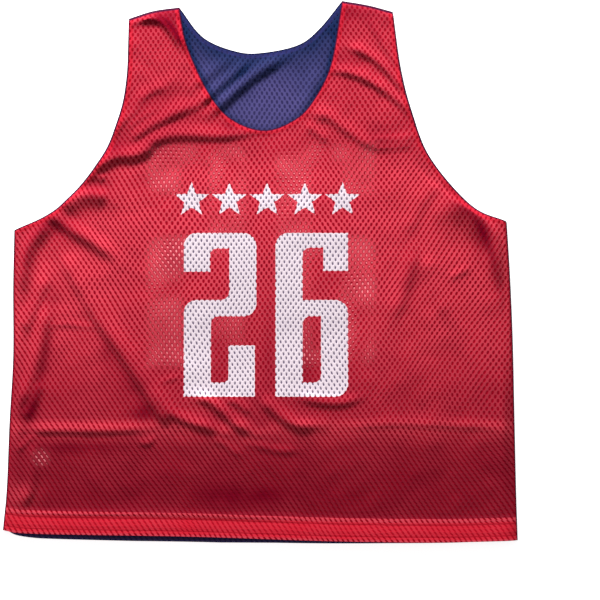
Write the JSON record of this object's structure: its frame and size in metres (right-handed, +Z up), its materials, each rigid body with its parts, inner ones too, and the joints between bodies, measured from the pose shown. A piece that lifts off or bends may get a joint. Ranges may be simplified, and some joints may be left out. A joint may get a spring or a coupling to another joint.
{
  "type": "mesh training bib",
  "caption": "Sleeveless reversible mesh training bib laid flat, red outside and navy inside, with a scooped neck, deep armholes and a straight hem.",
  "frame": {"origin": "middle of the footprint of the bib, on the surface that it lies on", "axes": "+Z up off the surface, +Y along the bib from hem to neck, +X to the right as its front is looked at"},
  "size_m": [0.668, 0.7061, 0.0168],
  "materials": {
    "red_mesh": "matt knitted polyester mesh with small oval holes",
    "navy_mesh": "matt knitted polyester mesh with small oval holes"
  },
  "bodies": {
    "root": {"front_red_panel": "red_mesh", "front_navy_panel": "navy_mesh", "back_navy_panel": "navy_mesh", "back_red_panel": "red_mesh"}
  },
  "joints": []
}
